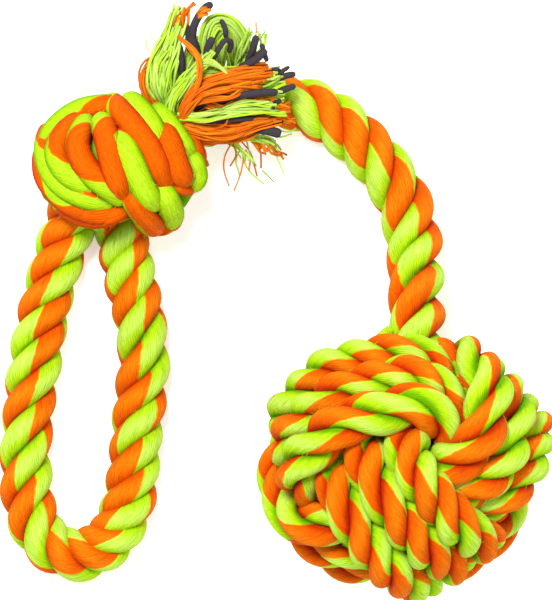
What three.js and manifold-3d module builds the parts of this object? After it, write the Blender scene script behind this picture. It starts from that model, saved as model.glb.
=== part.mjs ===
import * as THREE from "three";
import * as BufferGeometryUtils from "three/addons/utils/BufferGeometryUtils.js";
import Module from "manifold-3d";

// A rope dog toy lying on the floor, in millimetres, +Z up.
// One three-strand cotton rope makes all of it. It is wound into a big woven ball of three bands of turns,
// runs in an arc to a knot and makes a hand loop there, and its end is frayed into a tassel.

const wasm = await Module();
wasm.setup();

// The rope, pressed flat where it lies on the floor
const ropeDiameter = 18;
const ropeSides = 12;
const flatShare = 0.1;
const stepDiametersShare = 0.5;
const taperShare = 0.1;

// Room between pieces that touch, and between the turns of a winding
const clearance = 0.3;
const turnGap = 0.8;
const coreGap = 1.6;
// How the windings are pushed apart: rounds, the share of a shortage that a push mends, the share that
// tension straightens, the fixed points at an end, and how many widths of rope its own neighbours are away
const ballRoundCount = 400;
const knotRoundCount = 60;
const pushShare = 0.6;
const ballPullShare = 0.02;
const knotPullShare = 0.1;
const ballHeldCount = 1;
const knotHeldCount = 3;
const neighbourShare = 1.7;

// The ball: three bands of turns, each over one of the others and under the third
const ballDiameter = 104;
const ballRopeDiameter = 13.9;
const turnPitch = 14.9;
const turnsInBand = 3;
const ringDegrees = [0, 20, 38, 50, 60, 75, 90, 105, 120, 130, 142, 160];
const turnSides = 10;
const ballFlat = 0.5;
const overEndDegrees = 34;
const underStartDegrees = 60;
const climbShare = 0.12;
const coreSides = 24;

// The attitude of the ball: the corner where its bands meet looks up, leans over and is turned
const cornerTurnDegrees = 42;
const cornerLeanDegrees = 18;
const cornerLeanTowardsDegrees = 42;

// The knot: the rope's end makes turns about the rope that runs through it, pulled tight and so thinner
const knotRopeDiameter = 15.6;
const knotCentre = [-102.5, 106.4];
const knotAxisDegrees = 25;
const knotTurnPitch = 16.4;
const knotStart = -28.5;
const knotTurnsShare = 2.3;
const knotLeadShare = 0.1;
const knotSteps = 18;
const tailRiseShare = 0.35;

// Routes of the free rope, chosen points in the toy's own frame
const ropeLie = ropeDiameter * (0.5 - flatShare);
const arcRoute = [
  [5, 58, 31],
  [4.9, 66, 22],
  [4.6, 74, 14],
  [3.6, 86, 8.4],
  [-0.7, 98.1, ropeLie],
  [-8.6, 108.8, ropeLie],
  [-18.6, 119.2, ropeLie],
  [-27.6, 126, ropeLie],
  [-38.3, 130.3, ropeLie],
  [-50.1, 130.6, 8],
  [-60.5, 127, 12.5],
  [-70, 121.6, 18.5],
];
const loopRoute = [
  [-99.2, 76.5, 7.6],
  [-97, 65, ropeLie],
  [-94.2, 55, ropeLie],
  [-92, 38, ropeLie],
  [-94.5, 18.3, ropeLie],
  [-95.8, 0, ropeLie],
  [-99.6, -16.1, ropeLie],
  [-106.8, -28.2, ropeLie],
  [-117.6, -32.4, ropeLie],
  [-127.6, -26.6, ropeLie],
  [-133.2, -15.4, ropeLie],
  [-134.8, -2, ropeLie],
  [-134.3, 18.3, ropeLie],
  [-131.7, 40.1, ropeLie],
  [-129.6, 54, ropeLie],
  [-126, 68, 7.4],
];
// Routes in the knot's frame: along the rope through it, across it and up from its middle
const throughRoute = [
  [22, 0, 0],
  [8, 0, 0],
  [-3, -1, 0],
  [-10, -7, 0],
  [-12.6, -18, -4],
  [-12, -28, -12],
];
const leadRoute = [[-32, -20, -6]];

// The frayed end: three tufts of yarn, each the end of one strand, which hold the strands' dark hearts
const tuftSides = 12;
const tuftRingsPerPoint = 2;
const tuftFlatShare = 0.72;
const tuftRootSpreadShare = 1.2;
const tuftTurnDegrees = 30;
const tuftRootRadius = 3.4;
const tufts = [
  { route: [[-88.6, 141, 31], [-86, 150.4, 30], [-79.5, 159.5, 28]], swellShares: [1, 1.88, 2.24, 1.76] },
  { route: [[-80.5, 141.5, 35.5], [-72, 149, 36], [-64.5, 155.5, 34]], swellShares: [1, 1.88, 2.53, 2.65] },
  {
    route: [[-75, 134.6, 30], [-64, 133.4, 28.6], [-53.6, 131.7, 27], [-44, 130, 26]],
    swellShares: [1, 2.18, 3.12, 3.82, 3.71],
  },
];
const heartDiameter = 2.6;
const heartSides = 8;
const heartStepDiameters = 2.5;
const heartRootShare = 0.55;
const heartMouthShare = 0.85;
const heartEnds = [
  [[-75.5, 166.5, 29], [-70.4, 165.6, 27], [-69, 158.6, 30.6]],
  [[-56.6, 164, 34], [-55.6, 158.6, 36.6], [-54.6, 153.2, 36], [-53.6, 147.6, 34]],
  [
    [-36.8, 141.1, 27],
    [-35.6, 136.7, 29],
    [-35.3, 131.8, 30],
    [-36.4, 127.2, 29],
    [-37.4, 123.2, 27],
    [-39.8, 119.2, 24.6],
  ],
];

// Cotton colours
const orange = 0xf26a12;
const lime = 0xb4dc28;
const amber = 0xe8920f;
const charcoal = 0x3c333d;
const yarnRoughness = 0.9;

// Sizes that follow from these
const ropeRadius = ropeDiameter / 2;
const turnRadius = ballRopeDiameter / 2;
const overRadius = ballDiameter / 2 - turnRadius;
const underRadius = overRadius - ballRopeDiameter - turnGap;
const coreRadius = underRadius - turnRadius - coreGap;
const knotRadius = knotRopeDiameter / 2;
const knotTurnRadius = knotRopeDiameter + turnGap;
const knotHeight = knotTurnRadius + knotRadius - flatShare * knotRopeDiameter;
const heartRadius = heartDiameter / 2;

const up = new THREE.Vector3(0, 0, 1);
const vector = (point) => new THREE.Vector3(...point);

function smooth(from, to, value) {
  const share = THREE.MathUtils.clamp((value - from) / (to - from), 0, 1);
  return share * share * (3 - 2 * share);
}

// Points of a smooth route through chosen ones, at an even step
function along(route, step) {
  const curve = new THREE.CatmullRomCurve3(route, false, "centripetal");
  return curve.getSpacedPoints(Math.round(curve.getLength() / step));
}

// Sides of a tube's rings, carried along the route without twisting
function ringFrames(points) {
  let normal = new THREE.Vector3();
  return points.map((point, i) => {
    const before = points[Math.max(i - 1, 0)];
    const tangent = points[Math.min(i + 1, points.length - 1)].clone().sub(before).normalize();
    if (i === 0) normal.crossVectors(up, tangent);
    normal = normal.clone().addScaledVector(tangent, -normal.dot(tangent)).normalize();
    return { tangent, normal, across: tangent.clone().cross(normal) };
  });
}

// Closed tube along a route. The radius follows the share of the route, and the floor presses it flat
function tube(points, radiusAt, sides, floor = 0) {
  const positions = [];
  const indices = [];
  ringFrames(points).forEach(({ normal, across }, i) => {
    const radius = radiusAt(i / (points.length - 1));
    for (let s = 0; s < sides; s += 1) {
      const angle = (2 * Math.PI * (s + 0.5)) / sides;
      const vertex = points[i].clone();
      vertex.addScaledVector(normal, radius * Math.cos(angle));
      vertex.addScaledVector(across, radius * Math.sin(angle));
      positions.push(vertex.x, vertex.y, Math.max(vertex.z, floor));
    }
  });
  for (let i = 0; i + 1 < points.length; i += 1) {
    for (let s = 0; s < sides; s += 1) {
      const here = i * sides + s;
      const beside = i * sides + ((s + 1) % sides);
      indices.push(here, beside, here + sides, beside, beside + sides, here + sides);
    }
  }
  const last = (points.length - 1) * sides;
  for (let s = 1; s + 1 < sides; s += 1) {
    indices.push(0, s + 1, s);
    indices.push(last, last + s, last + s + 1);
  }
  const geometry = new THREE.BufferGeometry();
  geometry.setAttribute("position", new THREE.Float32BufferAttribute(positions, 3));
  geometry.setIndex(indices);
  return geometry;
}

function solidOf(geometry) {
  const bare = geometry.clone();
  bare.deleteAttribute("normal");
  bare.deleteAttribute("uv");
  const merged = BufferGeometryUtils.mergeVertices(bare);
  const mesh = new wasm.Mesh({
    numProp: 3,
    vertProperties: new Float32Array(merged.attributes.position.array),
    triVerts: new Uint32Array(merged.index.array),
  });
  return new wasm.Manifold(mesh);
}

function geometryOf(solid) {
  const mesh = solid.getMesh();
  const geometry = new THREE.BufferGeometry();
  geometry.setAttribute("position", new THREE.BufferAttribute(new Float32Array(mesh.vertProperties), 3));
  geometry.setIndex(new THREE.BufferAttribute(new Uint32Array(mesh.triVerts), 1));
  return geometry;
}

// The room that a tube needs: itself and the clearance, with no floor under it
function roomFor(points, radiusAt, sides) {
  return solidOf(tube(points, (share) => radiusAt(share) + clearance, sides, -Infinity));
}

// Shares along two segments, from a to b and from c to d, of their points nearest each other
function nearestShares(a, b, c, d) {
  const first = b.clone().sub(a);
  const second = d.clone().sub(c);
  const between = a.clone().sub(c);
  const lengthOne = first.lengthSq();
  const lengthTwo = second.lengthSq();
  const dot = first.dot(second);
  const onFirst = first.dot(between);
  const onSecond = second.dot(between);
  const spread = lengthOne * lengthTwo - dot * dot;
  const clamp = (value) => THREE.MathUtils.clamp(value, 0, 1);
  const guess = spread > 0 ? clamp((dot * onSecond - onFirst * lengthTwo) / spread) : 0;
  const two = clamp((dot * guess + onSecond) / lengthTwo);
  return [clamp((dot * two - onFirst) / lengthOne), two];
}

// Visits each pair of segments of ropes that are nearer than the gap, but for those that follow each other
function forNearPairs(ropes, gap, visit) {
  const all = [];
  for (const rope of ropes) {
    let length = 0;
    for (let i = 0; i + 1 < rope.points.length; i += 1) {
      const reach = rope.points[i].distanceTo(rope.points[i + 1]);
      all.push({ rope, i, a: rope.points[i], b: rope.points[i + 1], length, reach });
      length += reach;
    }
  }
  for (let k = 0; k < all.length; k += 1) {
    for (let m = k + 1; m < all.length; m += 1) {
      const one = all[k];
      const two = all[m];
      const room = one.rope.radius + two.rope.radius;
      if (one.rope === two.rope && two.length - one.length < neighbourShare * room + one.reach) continue;
      const limit = room + gap + one.reach + two.reach;
      if (one.a.distanceToSquared(two.a) > limit * limit) continue;
      const shares = nearestShares(one.a, one.b, two.a, two.b);
      const away = two.a.clone().lerp(two.b, shares[1]).sub(one.a.clone().lerp(one.b, shares[0]));
      const short = room + gap - away.length();
      if (short > 0) visit(one, two, shares, away.normalize(), short);
    }
  }
}

// Pushes ropes apart until each lies clear of the others and of itself, as pulling them tight does
function settle(ropes, rounds, keepIn) {
  const isHeld = (rope, i) => rope.heldCount > Math.min(i, rope.points.length - 1 - i);
  const move = ({ rope, i, a, b }, share, away, push) => {
    if (!isHeld(rope, i)) a.addScaledVector(away, push * (1 - share));
    if (!isHeld(rope, i + 1)) b.addScaledVector(away, push * share);
  };
  for (let round = 0; round < rounds; round += 1) {
    for (const { points, pull, heldCount } of ropes) {
      for (let i = heldCount; i < points.length - heldCount; i += 1) {
        const middle = points[i - 1].clone().add(points[i + 1]).multiplyScalar(0.5);
        points[i].lerp(middle, pull * (1 - round / rounds));
      }
    }
    forNearPairs(ropes, turnGap, (one, two, shares, away, short) => {
      move(one, shares[0], away, -pushShare * short);
      move(two, shares[1], away, pushShare * short);
    });
    for (const rope of ropes) rope.points.forEach((point, i) => isHeld(rope, i) || keepIn(point));
  }
}

function printLeastGap(what, ropes) {
  let least = knotRopeDiameter;
  forNearPairs(ropes, knotRopeDiameter, (one, two, shares, away, short) => {
    least = Math.min(least, knotRopeDiameter - short);
  });
  console.log(`${what}: least gap ${least.toFixed(2)} mm`);
}

const toy = new THREE.Group();
function add(name, geometry, color) {
  const material = new THREE.MeshStandardMaterial({ color, roughness: yarnRoughness, metalness: 0 });
  const mesh = new THREE.Mesh(geometry, material);
  mesh.name = name;
  toy.add(mesh);
}

// The ball's winding. A band's turns lie side by side, and each climbs to the next row where it lies under
function bandRoute(turn) {
  const points = [];
  for (let halfTurn = 0; halfTurn < 2 * turnsInBand; halfTurn += 1) {
    for (const degrees of ringDegrees) {
      const share = halfTurn / 2 + degrees / 360;
      if (share < climbShare || share > turnsInBand - climbShare) continue;
      const within = share - Math.floor(share);
      const climb = within < 0.5 ? smooth(0, climbShare, within) - 1 : smooth(1 - climbShare, 1, within);
      const row = (Math.floor(share) + climb / 2 - (turnsInBand - 1) / 2) * turnPitch;
      const angle = 2 * Math.PI * share - Math.PI / 2;
      const fromOver = THREE.MathUtils.radToDeg(Math.asin(Math.abs(Math.sin(angle))));
      const down = smooth(overEndDegrees, underStartDegrees, fromOver);
      const sphere = THREE.MathUtils.lerp(overRadius, underRadius, down);
      const ring = Math.sqrt(sphere * sphere - row * row);
      points.push(turn(ring * Math.cos(angle), ring * Math.sin(angle), row));
    }
  }
  return points;
}

const bands = [
  (x, y, z) => new THREE.Vector3(y, x, z),
  (x, y, z) => new THREE.Vector3(x, z, y),
  (x, y, z) => new THREE.Vector3(z, y, x),
].map((turn) => {
  return { points: bandRoute(turn), radius: turnRadius, heldCount: ballHeldCount, pull: ballPullShare };
});
settle(bands, ballRoundCount, (point) => {
  point.clampLength(underRadius, overRadius);
});
printLeastGap("The ball's winding", bands);

// The attitude of the ball
const towards = THREE.MathUtils.degToRad(cornerLeanTowardsDegrees);
const leanAxis = new THREE.Vector3(-Math.sin(towards), Math.cos(towards), 0);
const cornerUp = new THREE.Quaternion().setFromUnitVectors(new THREE.Vector3(1, 1, 1).normalize(), up);
const turned = new THREE.Quaternion().setFromAxisAngle(up, THREE.MathUtils.degToRad(cornerTurnDegrees));
const leanAngle = THREE.MathUtils.degToRad(cornerLeanDegrees);
const leaned = new THREE.Quaternion().setFromAxisAngle(leanAxis, leanAngle);
const ballAttitude = leaned.multiply(turned).multiply(cornerUp);
const leant = bands.map(({ points }) => points.map((point) => point.applyQuaternion(ballAttitude)));

// The ball lies on its lowest turns, which the floor presses flat
const lowest = leant.map((points) => {
  const hanging = tube(points, () => turnRadius, turnSides, -Infinity);
  return new THREE.Box3().setFromBufferAttribute(hanging.attributes.position).min.z;
});
const ballCentre = new THREE.Vector3(0, 0, -Math.min(...lowest) - ballFlat);
const wound = leant.map((points) => points.map((point) => point.add(ballCentre)));
const floor = new THREE.BoxGeometry(ballDiameter, ballDiameter, ballDiameter);
floor.translate(0, 0, -ballDiameter / 2);
wound.forEach((points, i) => {
  const band = solidOf(tube(points, () => turnRadius, turnSides, -Infinity));
  add(`ball_strand_${i + 1}`, geometryOf(band.subtract(solidOf(floor))), amber);
});

// The ball's core, the bundled rope that the winding closes round, hollowed where a turn presses into it
const coreBall = new THREE.SphereGeometry(coreRadius, coreSides, coreSides / 2);
let core = solidOf(coreBall.translate(ballCentre.x, ballCentre.y, ballCentre.z));
for (const points of wound) core = core.subtract(roomFor(points, () => turnRadius, turnSides));
add("ball_core", geometryOf(core), amber);

// The knot's frame
const axisAngle = THREE.MathUtils.degToRad(knotAxisDegrees);
function inKnot([along, across, high]) {
  return new THREE.Vector3(
    knotCentre[0] + along * Math.cos(axisAngle) - across * Math.sin(axisAngle),
    knotCentre[1] + along * Math.sin(axisAngle) + across * Math.cos(axisAngle),
    knotHeight + high,
  );
}

// The routes in the knot: the rope that runs through, and the end that turns about it
const knotStep = (Math.PI * knotTurnRadius) / knotSteps;
const throughPlaces = [vector(arcRoute.at(-1)), ...throughRoute.map(inKnot), vector(loopRoute[0])];
const through = along(throughPlaces, knotStep);
const turns = [];
for (let share = knotLeadShare; share <= knotTurnsShare; share += 0.5 / knotSteps) {
  const angle = Math.PI - 2 * Math.PI * share;
  const place = knotStart + knotTurnPitch * (share + smooth(0, 1, share));
  turns.push(inKnot([place, knotTurnRadius * Math.cos(angle), knotTurnRadius * Math.sin(angle)]));
}
const tailHeading = turns.at(-1).clone().sub(turns.at(-3)).normalize();
tailHeading.z *= tailRiseShare;
tailHeading.normalize();
for (let i = 0; i < Math.round(knotRopeDiameter / knotStep); i += 1) {
  turns.push(turns.at(-1).clone().addScaledVector(tailHeading, knotStep));
}
const lead = along([vector(loopRoute.at(-1)), ...leadRoute.map(inKnot), turns[0]], knotStep);
turns.unshift(...lead.slice(0, -1));
const knotRopes = [through, turns].map((points) => {
  return { points, radius: knotRadius, heldCount: knotHeldCount, pull: knotPullShare };
});
settle(knotRopes, knotRoundCount, (point) => {
  point.z = Math.max(point.z, knotHeight - knotTurnRadius);
});
printLeastGap("The knot", knotRopes);

// The rope from the ball to the knot and through it. Its end at the ball is shaped to the turns under it
const ballOut = vector(arcRoute[0]).sub(ballCentre).normalize();
const arcStart = ballCentre.clone().addScaledVector(ballOut, ballDiameter / 2 - turnRadius);
const arcFree = along([arcStart, ...arcRoute.map(vector)], ropeDiameter * stepDiametersShare);
const arcPoints = [...arcFree.slice(0, -1), ...through.filter((point, i) => i % 2 === 0)];
const slimShare = arcFree.length / arcPoints.length;
const arcRadius = (share) => {
  return THREE.MathUtils.lerp(ropeRadius, knotRadius, smooth(slimShare - taperShare, slimShare, share));
};
let arc = solidOf(tube(arcPoints, arcRadius, ropeSides));
for (const points of wound) arc = arc.subtract(roomFor(points, () => turnRadius, turnSides));
add("arc_rope", geometryOf(arc), amber);

const turnPoints = turns.filter((point, i) => i % 2 === 0);
add("knot_turns", tube(turnPoints, () => knotRadius, ropeSides), amber);

// The hand loop, from where the rope leaves the knot round to where the turns begin
function pastEnd(end, before) {
  const out = end.clone().sub(before).normalize();
  return [clearance, knotRadius].map((length) => end.clone().addScaledVector(out, length));
}
const loopStart = pastEnd(arcPoints.at(-1), arcPoints.at(-2));
const loopEnd = pastEnd(turnPoints[0], turnPoints[1]).reverse();
const loopMiddle = loopRoute.slice(1, -1).map(vector);
const loopBetween = along([loopStart[1], ...loopMiddle, loopEnd[0]], ropeDiameter * stepDiametersShare);
const loopPoints = [loopStart[0], ...loopBetween, loopEnd[1]];
const loopRadius = (share) => {
  return THREE.MathUtils.lerp(knotRadius, ropeRadius, smooth(0, taperShare, Math.min(share, 1 - share)));
};
add("hand_loop", tube(loopPoints, loopRadius, ropeSides), amber);

// Tufts: swelling, flattened bundles that start side by side at the tail's end
const tailEnd = turnPoints.at(-1);
const tailOut = tailEnd.clone().sub(turnPoints.at(-2)).normalize();
const tailSide = up.clone().cross(tailOut).normalize();
const tailUp = tailOut.clone().cross(tailSide);
const tuftRoutes = tufts.map(({ route }, i) => {
  const angle = (2 * Math.PI * i) / tufts.length + THREE.MathUtils.degToRad(tuftTurnDegrees);
  const spread = tuftRootRadius * tuftRootSpreadShare;
  const root = tailEnd.clone().addScaledVector(tailOut, clearance);
  root.addScaledVector(tailSide, spread * Math.sin(angle)).addScaledVector(tailUp, spread * Math.cos(angle));
  return [root, ...route.map(vector)];
});
function tuftSolid(route, swellShares, extra) {
  const curve = new THREE.CatmullRomCurve3(route, false, "centripetal");
  const points = curve.getPoints(tuftRingsPerPoint * (route.length - 1));
  const radiusAt = (share) => {
    const place = share * (swellShares.length - 1);
    const below = Math.min(Math.floor(place), swellShares.length - 2);
    const onward = smooth(0, 1, place - below);
    return tuftRootRadius * THREE.MathUtils.lerp(swellShares[below], swellShares[below + 1], onward) + extra;
  };
  const geometry = tube(points, radiusAt, tuftSides, -Infinity);
  const position = geometry.attributes.position;
  for (let i = 0; i < position.count; i += 1) {
    const ring = Math.floor(i / tuftSides);
    const flat = THREE.MathUtils.lerp(1, tuftFlatShare, Math.min(1, ring / (tuftRingsPerPoint + 1)));
    position.setZ(i, points[ring].z + (position.getZ(i) - points[ring].z) * flat);
  }
  return solidOf(geometry);
}

// Each heart runs from inside its tuft out to its own cut end
const heartStep = heartDiameter * heartStepDiameters;
const heartRoutes = tuftRoutes.map((route, i) => {
  const tip = route.at(-1);
  const middle = route.at(-2);
  const out = tip.clone().sub(middle).normalize();
  return heartEnds[i].map((place) => {
    const end = vector(place);
    const offset = end.clone().sub(tip);
    const sideways = offset.addScaledVector(out, -offset.dot(out));
    const root = middle.clone().addScaledVector(sideways, heartRootShare);
    return along([root, tip.clone().addScaledVector(sideways, heartMouthShare), end], heartStep);
  });
});
const knotRoom = roomFor(turnPoints, () => knotRadius, ropeSides);
const arcRoom = roomFor(arcPoints, arcRadius, ropeSides);
tuftRoutes.forEach((route, i) => {
  let solid = tuftSolid(route, tufts[i].swellShares, 0).subtract(knotRoom).subtract(arcRoom);
  for (let k = 0; k < i; k += 1) {
    solid = solid.subtract(tuftSolid(tuftRoutes[k], tufts[k].swellShares, clearance));
  }
  for (const heart of heartRoutes.flat()) {
    solid = solid.subtract(roomFor(heart, () => heartRadius, heartSides));
  }
  add(`tuft_${i + 1}`, geometryOf(solid), [orange, lime, amber][i]);
});
heartRoutes.forEach((routes, i) => {
  routes.forEach((points, k) => {
    add(`heart_${i + 1}_${k + 1}`, tube(points, () => heartRadius, heartSides), charcoal);
  });
});

// The origin is the middle of the footprint, on the floor
const bounds = new THREE.Box3().setFromObject(toy, true);
const middle = bounds.getCenter(new THREE.Vector3());
toy.position.set(-middle.x, -middle.y, -bounds.min.z);
const group = new THREE.Group();
group.add(toy);

export default group;
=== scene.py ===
# %% [markdown]
# # A rope dog toy, seen from straight above
#
# One thick three-strand cotton rope makes the whole toy. It is wound into a woven ball, runs in an arc
# to a knot, makes a hand loop and ends in a frayed tassel. The rope is the lesson here: one function lays
# three round strands in a helix along any line, and the ball, the arc, the loop and the inside of the knot
# are that function on new lines. The strands on top of the knot and the loose yarns have their own.

# %% Load the frame and set the sizes
import math

import bmesh
import bpy
import numpy as np
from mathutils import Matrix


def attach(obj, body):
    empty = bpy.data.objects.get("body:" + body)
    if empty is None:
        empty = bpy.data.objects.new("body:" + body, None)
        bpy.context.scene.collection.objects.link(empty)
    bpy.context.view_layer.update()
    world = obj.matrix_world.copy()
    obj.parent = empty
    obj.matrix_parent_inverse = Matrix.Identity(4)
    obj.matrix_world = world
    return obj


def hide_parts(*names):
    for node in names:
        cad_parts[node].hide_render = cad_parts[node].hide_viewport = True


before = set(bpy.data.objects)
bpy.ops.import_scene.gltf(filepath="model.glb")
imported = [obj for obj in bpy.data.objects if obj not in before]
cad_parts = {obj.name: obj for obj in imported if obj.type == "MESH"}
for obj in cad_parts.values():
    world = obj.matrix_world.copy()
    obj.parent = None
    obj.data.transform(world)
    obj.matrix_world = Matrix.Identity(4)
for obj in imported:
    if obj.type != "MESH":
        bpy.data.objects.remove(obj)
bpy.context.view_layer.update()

MM = 0.001
PIXEL = 0.358  # millimetres that one pixel of the picture shows
ROPE = 19.2
ARC_ROPE = 20.6
KNOT_ROPE = 14.4
BALL = 104.0
BALL_ROPE = 17.1
TIGHT_ROPE = 13.9  # the rope where the ball's turns press it
TURN_PITCH = 14.9
WIDEN = np.array([1.03, 0.97, 1.0])  # the soft ball is a little wider than deep
LAY_RATIO = 2.155  # how fast the yarns turn back inside a strand, which keeps them along the rope
STRAND_SHARE = 0.232  # a strand's radius, as a share of the rope's diameter
HELIX_SHARE = 0.268
BUMP_STEP = 13.6  # from one strand's crest to the next one's, along the rope
SIDES = 44
PICTURE_WIDE, PICTURE_HIGH = 552, 600  # pixels
START_X, START_Y = 126, 165  # pixels from the picture's middle to where the rope's own numbers start
CAMERA_HEIGHT = 4000.0
SENSOR = 24.0
MOVE = np.array([46.392, -58.222, 0.0])  # from the rope's own numbers to the frame of the row
random = np.random.default_rng(7)

# %% [markdown]
# ## The camera
#
# The picture was taken from straight above, so the camera looks down from four metres. From so high a
# pixel of the picture is nearly the same length everywhere, so any place in the picture can be written as
# a place on the toy. An orthographic camera would do nearly the same, but a real lens also makes the top of
# the ball a little larger than its foot.

# %% Camera
def spot(px, py, z=0.0):
    """A pixel of the picture as a point at a height, in the rope's own millimetres."""
    near = 1 - z / CAMERA_HEIGHT
    x = (px - PICTURE_WIDE / 2) * PIXEL * near - START_X * PIXEL
    y = (PICTURE_HIGH / 2 - py) * PIXEL * near + START_Y * PIXEL
    return np.array([x, y, z])


def pixels(points):
    """The places in the picture of points in the rope's own millimetres."""
    away = PIXEL * (1 - points[:, 2] / CAMERA_HEIGHT)
    px = PICTURE_WIDE / 2 + (points[:, 0] + START_X * PIXEL) / away
    py = PICTURE_HIGH / 2 - (points[:, 1] - START_Y * PIXEL) / away
    return np.stack([px, py], 1)


middle = spot(PICTURE_WIDE / 2, PICTURE_HIGH / 2) + MOVE
lens_data = bpy.data.cameras.new("camera")
camera = bpy.data.objects.new("camera", lens_data)
bpy.context.scene.collection.objects.link(camera)
camera.location = (middle[0] * MM, middle[1] * MM, CAMERA_HEIGHT * MM)
lens_data.sensor_fit = "VERTICAL"
lens_data.sensor_height = SENSOR
lens_data.lens = SENSOR * CAMERA_HEIGHT / (PICTURE_HIGH * PIXEL)
bpy.context.scene.camera = camera
print("camera over", camera.location[:], "lens", round(lens_data.lens, 1))

# %% [markdown]
# ## Lines that ropes follow
#
# A rope has no corners, but it is easiest to describe by a few chosen points. `smooth_line` draws a curve
# through them and gives points at an even step, so everything after it can count in millimetres of rope. A
# Blender curve object could do it too, but its points aren't evenly spaced, and the rope's lay needs that.

# %% Smooth lines
def even(points, step):
    """Points at an even step along a broken line."""
    points = np.asarray(points, float)
    length = np.r_[0, np.cumsum(np.linalg.norm(np.diff(points, axis=0), axis=1))]
    places = np.linspace(0, length[-1], max(2, round(length[-1] / step)) + 1)
    return np.stack([np.interp(places, length, points[:, k]) for k in range(3)], 1)


def smooth_line(points, step=1.0):
    """Points at an even step along a smooth curve through the chosen ones."""
    p = np.asarray(points, float)
    p = np.vstack([2 * p[0] - p[1], p, 2 * p[-1] - p[-2]])
    out = []
    for i in range(1, len(p) - 2):
        a, b, c = (np.linalg.norm(p[i + k] - p[i + k - 1]) ** 0.5 for k in (0, 1, 2))
        start = (p[i] - p[i - 1]) / a - (p[i + 1] - p[i - 1]) / (a + b) + (p[i + 1] - p[i]) / b
        end = (p[i + 1] - p[i]) / b - (p[i + 2] - p[i]) / (b + c) + (p[i + 2] - p[i + 1]) / c
        t = np.linspace(0, 1, 24, endpoint=False)[:, None]
        h = [2 * t**3 - 3 * t**2 + 1, t**3 - 2 * t**2 + t, 3 * t**2 - 2 * t**3, t**3 - t**2]
        out.append(h[0] * p[i] + h[1] * b * start + h[2] * p[i + 1] + h[3] * b * end)
    out.append(p[-2][None])
    return even(np.vstack(out), step)


def unit(v):
    """The same directions, one unit long."""
    return v / np.maximum(np.linalg.norm(v, axis=-1, keepdims=True), 1e-9)


def blur(values, width):
    """A list of numbers, smoothed over so many of its neighbours. Its slopes go on past its ends."""
    reach = int(3 * width) + 1
    weights = np.exp(-0.5 * (np.arange(-reach, reach + 1) / width) ** 2)
    slope_start, slope_end = values[1] - values[0], values[-1] - values[-2]
    before = values[0] - slope_start * np.arange(reach, 0, -1)
    after = values[-1] + slope_end * np.arange(1, reach + 1)
    return np.convolve(np.r_[before, values, after], weights / weights.sum(), "valid")


def ease(low, high, value):
    """0 before low, 1 after high and a soft step between."""
    share = np.clip((value - low) / (high - low), 0, 1)
    return share * share * (3 - 2 * share)


print("a smooth line over 20 mm has", len(smooth_line([(0, 0, 0), (10, 0, 0), (20, 0, 0)])), "points")

# %% [markdown]
# ## One strand
#
# A strand is a long tube of soft cotton. A flat grid gives its faces, its points are folded round the
# strand's line, and the two long sides are welded. Its UV map holds what the material needs: U is the turn
# of the yarns round the strand, and V is the millimetres along it. A curve with a round bevel would be
# shorter to write, but its flat foot on the floor and the twist of its UV map would need further steps.

# %% Tubes from grids
def tube_piece(name, rings, turn, along, lie, material):
    """A closed tube through rings of points, in millimetres. lie is 1 where a side faces out of its rope."""
    steps, sides = rings.shape[:2]
    shape = bmesh.new()
    bmesh.ops.create_grid(shape, x_segments=sides, y_segments=steps - 1, size=1.0)
    mesh = bpy.data.meshes.new(name)
    shape.to_mesh(mesh)
    shape.free()
    wrapped = np.concatenate([rings, rings[:, :1]], 1).reshape(-1, 3) * MM
    mesh.vertices.foreach_set("co", wrapped.ravel())
    corner = np.empty(len(mesh.loops), np.int32)
    mesh.loops.foreach_get("vertex_index", corner)
    uv = np.stack([turn.reshape(-1)[corner], along.reshape(-1)[corner]], 1)
    mesh.uv_layers.new(name="yarn").data.foreach_set("uv", uv.ravel())
    facing_out = np.tile(np.r_[lie, lie[:1]], steps)[corner]
    mesh.uv_layers.new(name="lie").data.foreach_set("uv", np.repeat(facing_out, 2))
    shape = bmesh.new()
    shape.from_mesh(mesh)
    bmesh.ops.remove_doubles(shape, verts=shape.verts, dist=1e-7)
    bmesh.ops.holes_fill(shape, edges=[edge for edge in shape.edges if edge.is_boundary])
    bmesh.ops.recalc_face_normals(shape, faces=shape.faces)
    for face in shape.faces:
        face.smooth = True
    shape.to_mesh(mesh)
    shape.free()
    mesh.materials.append(material)
    piece = bpy.data.objects.new(name, mesh)
    bpy.context.scene.collection.objects.link(piece)
    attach(piece, "root")
    return piece


print("a strand has", SIDES, "sides")

# %% [markdown]
# ## The colours
#
# The cotton is dyed a strong orange and a strong lime. Each has three tones: the plain one, a painted
# highlight where a crest catches the light, and a painted shade down in a crease. Lamps could do it alone,
# but the light here is soft, so the highlight and the shade are painted into the material and the creases
# stay dark.

# %% Colours
ORANGE = (0.58, 0.082, 0.0)
LIME = (0.33, 0.55, 0.004)
LIT_ORANGE = (0.72, 0.22, 0.004)  # painted highlight: the same cotton lit on a crest
LIT_LIME = (0.5, 0.71, 0.15)
DARK = (0.02, 0.015, 0.02)
SHADED_ORANGE = (0.42, 0.024, 0.0)  # painted shade: the same cotton shaded down in a crease
SHADED_LIME = (0.12, 0.32, 0.0)
TONES = (ORANGE, LIME, LIT_ORANGE, LIT_LIME, SHADED_ORANGE, SHADED_LIME, DARK)
print(len(TONES), "tones of cotton")

# %% [markdown]
# ## A helper for materials
#
# A procedural material is a chain of shader nodes. Adding and linking them one by one takes many lines, so
# this class gives each of the usual moves a short name: add a node, do a sum, mix two colours, map a range.

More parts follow.
